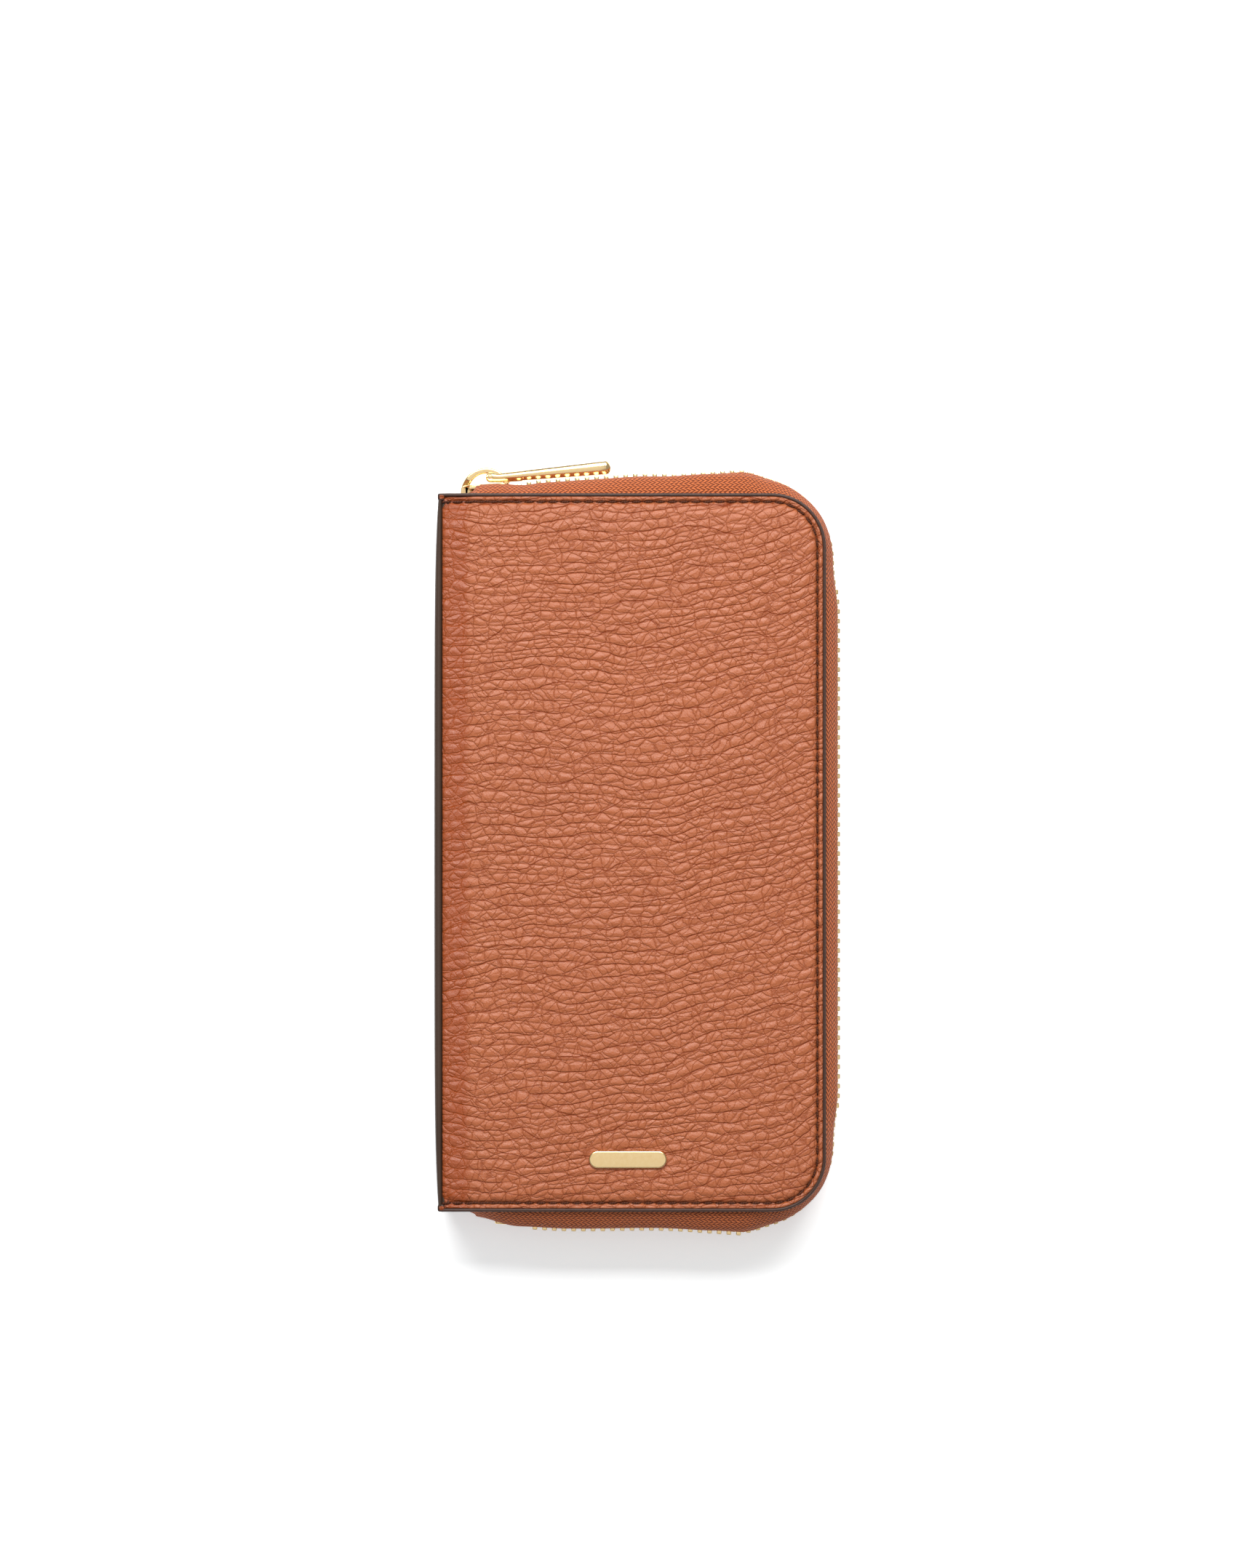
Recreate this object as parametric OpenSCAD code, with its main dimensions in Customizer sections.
// Long zip-around wallet, lying closed on its back.
// X runs from the spine to the zip side, Y along the length, Z is the thickness.
// The origin is on the outer face of the back cover.

/* [Covers] */
// Width of each cover, from the fold to the zip side
cover_w = 103; // [95:1:112]
// Length of each cover
cover_h = 193; // [180:1:205]
// Thickness of the closed wallet, without the emblem
wallet_t = 25; // [25:0.5:28]
// Radius of the two corners on the zip side
corner_r = 14.5; // [11:0.5:17]
// Thickness of the outer leather
leather_t = 1.3; // [1:0.1:1.6]
// Thickness of the stiffening board
board_t = 0.9; // [0.6:0.1:1.1]
// Thickness of the lining
lining_t = 0.5; // [0.3:0.1:0.7]
// Thickness of the painted edge round the leather
paint_t = 0.8; // [0.5:0.1:1.2]
// Distance of the seam from the edge
seam_inset = 2.4; // [2:0.1:3]

/* [Spine] */
// Thickness of the smooth strip along the fold
strip_t = 1.9; // [1.5:0.1:2.4]
// Distance that the strip stops short of each end of the covers
strip_end = 2; // [1:0.5:4]

/* [Zip] */
// Distance of the chain line outside the covers on the long side
side_bulge = 3; // [2:0.5:4]
// Distance of the chain line outside the covers at the top of each corner
end_bulge = 5.9; // [5:0.1:7]
// Radius of the chain line at the corners
chain_r = 24; // [20:1:28]
// Angle by which the chain line climbs from the spine to the corner
chain_rise = 3.8; // [3:0.1:4.6]
// Distance from one tooth to the next
tooth_pitch = 2.62; // [2.4:0.01:2.8]
// Thickness of the woven tape
tape_t = 0.8; // [0.5:0.1:0.9]

/* [Slider] */
// Length of the slider body
slider_len = 14; // [12:0.5:15]
// Width of the slider body across the chain
slider_w = 8.5; // [8.5:0.1:9.5]
// Length of the puller, from its pin to its far end
puller_len = 33; // [26:1:36]
// Width of the puller
puller_w = 4.6; // [4.6:0.1:6]

/* [Card pockets] */
// Thickness of a leaf
leaf_t = 0.9; // [0.7:0.05:0.9]
// Room inside each card slot
slot_gap = 0.35; // [0.3:0.05:0.35]
// Step from one pocket mouth to the next
leaf_step = 9; // [7:0.5:10]
// Half the length of the leaves
leaf_half = 88; // [80:1:88]

/* [Coin pocket] */
// Distance of the coin zip from the fold
coin_depth = 81; // [75:1:83]
// Half the length of the coin pocket
coin_half = 85; // [80:1:86]
// Outer thickness of the coin pocket
coin_t = 7.8; // [7.8:0.1:8]
// Length of the coin puller
coin_puller_len = 16; // [12:1:17]

/* [Hidden] */
$fn = 96;

tan_leather = "#bc6a43";
tan_tape = "#b86436";
dark_brown = "#4a3027";
lining_tan = "#a9805c";
board_grey = "#b9aa90";
gold = "#d9b25c";

mid_z = wallet_t / 2;
right_x = 52;
left_x = right_x - cover_w;
strip_x = left_x - 0.1 - strip_t;
ear_x = strip_x + 0.7;
half_h = cover_h / 2;
cover_t = leather_t + board_t + lining_t;
arc_x = right_x - corner_r;

groove_w = 0.8;
groove_d = 0.5;
thread_t = 0.45;
rim_w = 8.5;
lining_inset = 1.6;
fit_gap = 0.1;
arc_steps = 24;

corner_x = right_x + side_bulge - chain_r;
corner_y = half_h + end_bulge - chain_r;
chain_x = right_x + side_bulge;
rise_x = corner_x - chain_r * sin(chain_rise);
rise_y = corner_y + chain_r * cos(chain_rise);
tape_left = left_x + 2.5;
flange_left = left_x + 5;

slider_x = -39.5;
first_tooth_x = slider_x + slider_len / 2 + 0.7;
last_tooth_x = -32.5;
tooth_w = 1.3;
tooth_d = 2;
row_gap = 0.65;
tooth_len = 3;
tooth_head = 1.35;

plate_t = 0.8;
channel = tooth_d / 2 + 0.2;
post_w = 1;
post_len = 2.5;
crown_r = 6.9;
crown_band = 1.6;
crown_w = 2.6;
crown_drop = 0.6;
pin_u = 1.3;
pin_n = 3.6;
pin_r = 0.6;
puller_tilt = 1.4;
puller_thin = 0.9;
puller_thick = 1.55;
eye_r = 1.3;
fork_len = 8.8;
fork_gap = crown_w + 0.3;

coin_wall_t = 0.8;
coin_left = left_x + 1.3;
coin_mouth = left_x - 0.1 + coin_depth;
coin_in = coin_t / 2 - coin_wall_t;
coin_tape_t = 0.6;
coin_row_in = 0.6;
coin_row_out = 1.5;
coin_row_d = 1.6;
coin_row_half = 80;
coin_slider_len = 8;
coin_slider_w = 4.8;
coin_slider_y = 75;
coin_plate_t = 0.7;
coin_channel = coin_row_d / 2 + 0.2;
coin_pin_x = coin_channel + coin_plate_t + 1.25;
coin_pin_r = 0.5;
coin_eye_r = 1.1;

function chain_y(x) = rise_y + (x - rise_x) * tan(chain_rise);

run_top = (rise_x - first_tooth_x) / cos(chain_rise);
run_arc = chain_r * (90 + chain_rise) * PI / 180;
run_side = 2 * corner_y;
run_low = (rise_x - last_tooth_x) / cos(chain_rise);
at_side = run_top + run_arc;
at_low_arc = at_side + run_side;
at_low = at_low_arc + run_arc;
chain_len = at_low + run_low;
tooth_count = floor(chain_len / tooth_pitch) - 1;

// Points round a corner of the chain line, between two headings
function arc_points(y, r, from, to) = [
    for (k = [0 : arc_steps])
        let (heading = from + (to - from) * k / arc_steps)
        [corner_x - r * sin(heading), y + r * cos(heading)]
];

// Place and heading on the chain line, at a distance from the first tooth
function arc_pose(y, heading) =
    [corner_x - chain_r * sin(heading), y + chain_r * cos(heading), heading];
function chain_pose(s) =
    s < run_top ?
        [first_tooth_x + s * cos(chain_rise), chain_y(first_tooth_x + s * cos(chain_rise)), chain_rise]
    : s < at_side ? arc_pose(corner_y, chain_rise - (s - run_top) * 180 / PI / chain_r)
    : s < at_low_arc ? [chain_x, corner_y - (s - at_side), -90]
    : s < at_low ? arc_pose(-corner_y, -90 - (s - at_low_arc) * 180 / PI / chain_r)
    : [rise_x - (s - at_low) * cos(chain_rise),
       -chain_y(rise_x - (s - at_low) * cos(chain_rise)), 180 - chain_rise];

// ---- shared shapes ----

// Turns a shape made for the back half into the same shape of the front half
module to_front() {
    translate([0, 0, wallet_t]) mirror([0, 0, 1]) children();
}

// Flat outline of a cover, set in from its three sewn sides
module cover_2d(inset) {
    r = corner_r - inset;
    translate([left_x, inset - half_h]) square([arc_x - left_x, cover_h - 2 * inset]);
    translate([left_x, corner_r - half_h])
        square([right_x - inset - left_x, cover_h - 2 * corner_r]);
    for (side = [-1, 1]) translate([arc_x, side * (half_h - corner_r)]) circle(r);
}

// Corner ears that close the ends of the spine strip
module ears_2d() {
    ear_h = strip_end - 0.3;
    for (y = [-half_h, half_h - ear_h]) translate([ear_x, y]) square([left_x - ear_x, ear_h]);
}

// Everything inside the chain line, grown outwards
module chain_2d(grow, from_x) {
    up = grow / cos(chain_rise);
    polygon(concat(
        [[from_x, -chain_y(from_x) - up], [from_x, chain_y(from_x) + up]],
        arc_points(corner_y, chain_r + grow, chain_rise, -90),
        arc_points(-corner_y, chain_r + grow, -90, -180 - chain_rise)
    ));
}

module at_slider() {
    translate([slider_x, chain_y(slider_x), mid_z]) rotate([0, 0, chain_rise]) children();
}

module at_puller() {
    at_slider() translate([pin_u, pin_n, 0]) rotate([0, 0, puller_tilt]) children();
}

module at_coin_slider() {
    translate([coin_mouth, coin_slider_y, mid_z]) children();
}

// ---- cover pieces, made for the back half ----

module leather_piece(tone) {
    color(tone) difference() {
        linear_extrude(leather_t) cover_2d(paint_t);
        translate([0, 0, -1]) linear_extrude(groove_d + 1) seam_2d();
    }
}

module seam_2d() {
    difference() {
        cover_2d(seam_inset - groove_w / 2);
        cover_2d(seam_inset + groove_w / 2);
    }
}

module paint_piece() {
    color(dark_brown) linear_extrude(leather_t) {
        difference() {
            cover_2d(0);
            cover_2d(paint_t);
        }
        ears_2d();
    }
}

module thread_piece() {
    color(dark_brown) translate([0, 0, groove_d - thread_t]) linear_extrude(thread_t) seam_2d();
}

module board_piece() {
    color(board_grey) translate([0, 0, leather_t]) linear_extrude(board_t) cover_2d(rim_w + 0.5);
}

module lining_piece() {
    color(lining_tan) translate([0, 0, leather_t + board_t]) linear_extrude(lining_t)
        cover_2d(lining_inset);
}

// Tape: a flange sewn into the rim, and a wall that stands up to the teeth
module tape_piece() {
    color(tan_tape) {
        translate([0, 0, leather_t]) linear_extrude(board_t) difference() {
            chain_2d(tape_t / 2, flange_left);
            cover_2d(rim_w);
        }
        translate([0, 0, leather_t]) linear_extrude(mid_z - leather_t - row_gap - tooth_head)
            difference() {
                chain_2d(tape_t / 2, tape_left);
                chain_2d(-tape_t / 2, tape_left - 5);
            }
    }
}

// One tooth: a head towards the middle and two legs that clamp the tape
module tooth() {
    translate([-tooth_w / 2, -tooth_d / 2, 0]) difference() {
        cube([tooth_w, tooth_d, tooth_len]);
        translate([-1, (tooth_d - tape_t - fit_gap) / 2, -1])
            cube([tooth_w + 2, tape_t + fit_gap, tooth_len - tooth_head + 1]);
    }
}

module teeth_row(shift) {
    color(gold) for (i = [0 : tooth_count - 1]) {
        p = chain_pose((i + shift) * tooth_pitch);
        translate([p[0], p[1], mid_z - row_gap - tooth_len]) rotate([0, 0, p[2]]) tooth();
    }
}

module top_stop_piece() {
    x = slider_x - slider_len / 2 - 1;
    color(gold) translate([x, chain_y(x), mid_z - row_gap - tooth_len])
        rotate([0, 0, chain_rise]) tooth();
}

// A card leaf: a sheet with low rails that close its pocket on three sides
module leaf_piece(i) {
    z = cover_t + i * (leaf_t + slot_gap);
    mouth = 38 - i * leaf_step;
    length = mouth - left_x - 5;
    rail = 2;
    color(tan_leather) translate([left_x + 5, 0, z]) {
        translate([0, -leaf_half, slot_gap]) cube([length, 2 * leaf_half, leaf_t]);
        translate([0, -leaf_half, 0]) cube([rail, 2 * leaf_half, slot_gap]);
        for (y = [-leaf_half, -rail / 2, leaf_half - rail])
            translate([0, y, 0]) cube([length, rail, slot_gap]);
    }
}

// ---- back half ----

module back_leather() leather_piece(tan_leather);
module back_edge_paint() paint_piece();
module back_seam_thread() thread_piece();
module back_board() board_piece();
module back_lining() lining_piece();
module back_zip_tape() tape_piece();
module back_zip_teeth() teeth_row(0);
module back_top_stop() top_stop_piece();

// Box that joins the two tapes at the far end of the chain
module bottom_stop() {
    x = last_tooth_x - 3;
    color(gold) translate([x, -chain_y(x), mid_z]) rotate([0, 0, -chain_rise]) difference() {
        translate([-1.6, -tooth_d / 2 - 0.4, -3.6]) cube([3.2, tooth_d + 0.8, 7.2]);
        translate([-3, -tape_t / 2, -5]) cube([6, tape_t, 4.4]);
        translate([-3, -tape_t / 2 - 0.15, 0.6]) cube([6, tape_t + 0.3, 4.4]);
    }
}

// ---- spine ----

module spine_strip() {
    length = cover_h - 2 * strip_end;
    color(dark_brown) translate([strip_x, length / 2, 0]) rotate([90, 0, 0]) linear_extrude(length) {
        translate([0, 1.5]) square([strip_t, wallet_t - 3]);
        translate([0.6, 0.3]) square([strip_t - 0.6, wallet_t - 0.6]);
        for (z = [1.5, wallet_t - 1.5]) intersection() {
            translate([1.2, z]) circle(1.2);
            square([strip_t, wallet_t]);
        }
    }
}

module spine_board() {
    color(board_grey) translate([left_x - 0.1, 4 - half_h, cover_t + 0.3])
        cube([0.8, cover_h - 8, wallet_t - 2 * cover_t - 0.6]);
}

module spine_lining() {
    color(lining_tan) translate([left_x + 0.7, 4 - half_h, cover_t + 0.3])
        cube([0.6, cover_h - 8, wallet_t - 2 * cover_t - 0.6]);
}

// ---- coin pocket, fixed to the spine ----

module coin_wall(side) {
    z = side < 0 ? mid_z - coin_t / 2 : mid_z + coin_t / 2 - coin_wall_t;
    color(tan_leather) translate([coin_left, -coin_half, z])
        cube([coin_mouth + coin_tape_t / 2 - coin_left, 2 * coin_half, coin_wall_t]);
}

module coin_back_wall() coin_wall(-1);
module coin_front_wall() coin_wall(1);

module coin_gusset() {
    color(lining_tan) translate([0, 0, mid_z - coin_in]) linear_extrude(2 * coin_in) {
        translate([coin_left, -coin_half]) square([coin_wall_t, 2 * coin_half]);
        for (y = [-coin_half, coin_half - coin_wall_t])
            translate([coin_left, y]) square([coin_mouth - coin_tape_t / 2 - coin_left, coin_wall_t]);
    }
}

module coin_zip_tapes() {
    color(tan_tape) for (z = [-coin_in, coin_row_out])
        translate([coin_mouth - coin_tape_t / 2, -coin_half, mid_z + z])
            cube([coin_tape_t, 2 * coin_half, coin_in - coin_row_out]);
}

module coin_zip_rows() {
    color(gold) for (z = [-coin_row_out, coin_row_in])
        translate([coin_mouth - coin_row_d / 2, -coin_row_half, mid_z + z])
            cube([coin_row_d, 2 * coin_row_half, coin_row_out - coin_row_in]);
}

module coin_zip_stops() {
    color(gold) for (y = [-coin_row_half - 2, coin_row_half])
        translate([coin_mouth - coin_row_d / 2, y, mid_z - coin_row_out])
            cube([coin_row_d, 2, 2 * coin_row_out]);
}

// ---- front half ----

module front_leather() {
    difference() {
        to_front() leather_piece(tan_leather);
        color(tan_leather) emblem_seat(0);
    }
}
module front_edge_paint() to_front() paint_piece();
module front_seam_thread() to_front() thread_piece();
module front_board() to_front() board_piece();
module front_lining() to_front() lining_piece();
module front_zip_tape() to_front() tape_piece();
module front_zip_teeth() to_front() teeth_row(0.5);
module front_top_stop() to_front() top_stop_piece();

emblem_x = -1.2;
emblem_y = -82.4;
emblem_w = 21;
emblem_h = 4.8;
emblem_t = 1;
emblem_sink = 0.3;

// Stadium shape of the emblem, standing in a shallow seat in the leather
module emblem_seat(grow) {
    run = (emblem_w - emblem_h) / 2;
    translate([emblem_x, emblem_y, wallet_t - emblem_sink]) linear_extrude(emblem_t) {
        translate([-run, -emblem_h / 2]) square([2 * run, emblem_h]);
        for (side = [-1, 1]) translate([side * run, 0]) circle(emblem_h / 2 + grow);
    }
}

module emblem() color(gold) emblem_seat(0);

// ---- slider and puller ----

// Two plates joined by a post, with lips that leave a slot for each tape
module slider_body() {
    lip_w = slider_w / 2 - row_gap - tooth_len - 0.2;
    slot = tape_t / 2 + 0.15;
    color(gold) at_slider() {
        for (side = [-1, 1]) {
            translate([0, side > 0 ? channel : -channel - plate_t, 0]) rotate([-90, 0, 0])
                linear_extrude(plate_t) plate_2d();
            for (edge = [-1, 1])
                translate([-slider_len / 2 + 1.5, side > 0 ? slot : -channel,
                           edge > 0 ? slider_w / 2 - lip_w : -slider_w / 2])
                    cube([slider_len - 3, channel - slot, lip_w]);
        }
        translate([-slider_len / 2 + 0.4, -channel, -post_w / 2])
            cube([post_len, 2 * channel, post_w]);
    }
}

module plate_2d() {
    r = 1.5;
    square([slider_len, slider_w - 2 * r], center = true);
    square([slider_len - 2 * r, slider_w], center = true);
    for (x = [-1, 1], z = [-1, 1])
        translate([x * (slider_len / 2 - r), z * (slider_w / 2 - r)]) circle(r);
}

module slider_crown() {
    color(gold) at_slider() translate([0, 0, -crown_w / 2]) linear_extrude(crown_w)
        intersection() {
            translate([0, -crown_drop]) difference() {
                circle(crown_r);
                circle(crown_r - crown_band);
            }
            translate([-crown_r, channel + plate_t]) square([2 * crown_r, crown_r]);
        }
}

// Tapered bar whose forked end straddles the crown
module puller() {
    bar = puller_len - puller_thick;
    color(gold) at_puller() difference() {
        translate([0, 0, -puller_w / 2]) linear_extrude(puller_w) {
            polygon([[0, -puller_thin], [bar, -puller_thick], [bar, puller_thick], [0, puller_thin]]);
            translate([bar, 0]) circle(puller_thick);
            circle(eye_r);
        }
        translate([-5, -5, -fork_gap / 2]) cube([fork_len + 5, 10, fork_gap]);
        cylinder(h = 20, r = pin_r, center = true);
    }
}

module puller_pin() {
    color(gold) at_puller() cylinder(h = puller_w, r = pin_r, center = true);
}

// ---- coin slider and puller ----

module coin_slider_body() {
    slot = coin_tape_t / 2 + 0.15;
    lip_w = coin_slider_w / 2 - coin_row_out - 0.2;
    ear_t = 0.6;
    color(gold) at_coin_slider() difference() {
        union() {
            for (side = [-1, 1]) {
                translate([side > 0 ? coin_channel : -coin_channel - coin_plate_t,
                           -coin_slider_len / 2, -coin_slider_w / 2])
                    cube([coin_plate_t, coin_slider_len, coin_slider_w]);
                for (edge = [-1, 1])
                    translate([side > 0 ? slot : -coin_channel, -coin_slider_len / 2,
                               edge > 0 ? coin_slider_w / 2 - lip_w : -coin_slider_w / 2])
                        cube([coin_channel - slot, coin_slider_len, lip_w]);
                translate([coin_channel, -coin_eye_r, side > 0 ? 0.9 : -0.9 - ear_t])
                    cube([coin_pin_x - coin_channel, 2 * coin_eye_r, ear_t]);
                translate([coin_pin_x, 0, side > 0 ? 0.9 : -0.9 - ear_t])
                    cylinder(h = ear_t, r = coin_eye_r);
            }
            translate([-coin_channel, coin_slider_len / 2 - 2.2, -0.4])
                cube([2 * coin_channel, 2, 0.8]);
        }
        translate([coin_pin_x, 0, 0]) cylinder(h = 10, r = coin_pin_r, center = true);
    }
}

module coin_slider_pin() {
    color(gold) at_coin_slider() translate([coin_pin_x, 0, 0])
        cylinder(h = 3, r = coin_pin_r, center = true);
}

module coin_puller() {
    eye_w = 1.5;
    tab_w = 4.2;
    tab_t = 1;
    color(gold) at_coin_slider() translate([coin_pin_x, 0, 0]) difference() {
        union() {
            translate([0, 0, -eye_w / 2]) cylinder(h = eye_w, r = coin_eye_r);
            translate([-tab_t / 2, -4, -eye_w / 2]) cube([tab_t, 4, eye_w]);
            translate([-tab_t / 2, -coin_puller_len + tab_w / 2, -tab_w / 2])
                cube([tab_t, coin_puller_len - tab_w / 2 - 2.5, tab_w]);
            translate([-tab_t / 2, -coin_puller_len + tab_w / 2, 0]) rotate([0, 90, 0])
                cylinder(h = tab_t, r = tab_w / 2);
        }
        cylinder(h = 10, r = coin_pin_r + 0.06, center = true);
    }
}

back_leather();
back_edge_paint();
back_seam_thread();
back_board();
back_lining();
back_zip_tape();
back_zip_teeth();
back_top_stop();
bottom_stop();
leaf_piece(0);  // back_card_leaf_1
leaf_piece(1);  // back_card_leaf_2
leaf_piece(2);  // back_card_leaf_3
leaf_piece(3);  // back_card_leaf_4
spine_strip();
spine_board();
spine_lining();
coin_back_wall();
coin_front_wall();
coin_gusset();
coin_zip_tapes();
coin_zip_rows();
coin_zip_stops();
front_leather();
front_edge_paint();
front_seam_thread();
front_board();
front_lining();
front_zip_tape();
front_zip_teeth();
front_top_stop();
to_front() leaf_piece(0);  // front_card_leaf_1
to_front() leaf_piece(1);  // front_card_leaf_2
to_front() leaf_piece(2);  // front_card_leaf_3
to_front() leaf_piece(3);  // front_card_leaf_4
emblem();
slider_body();
slider_crown();
puller();
puller_pin();
coin_slider_body();
coin_slider_pin();
coin_puller();
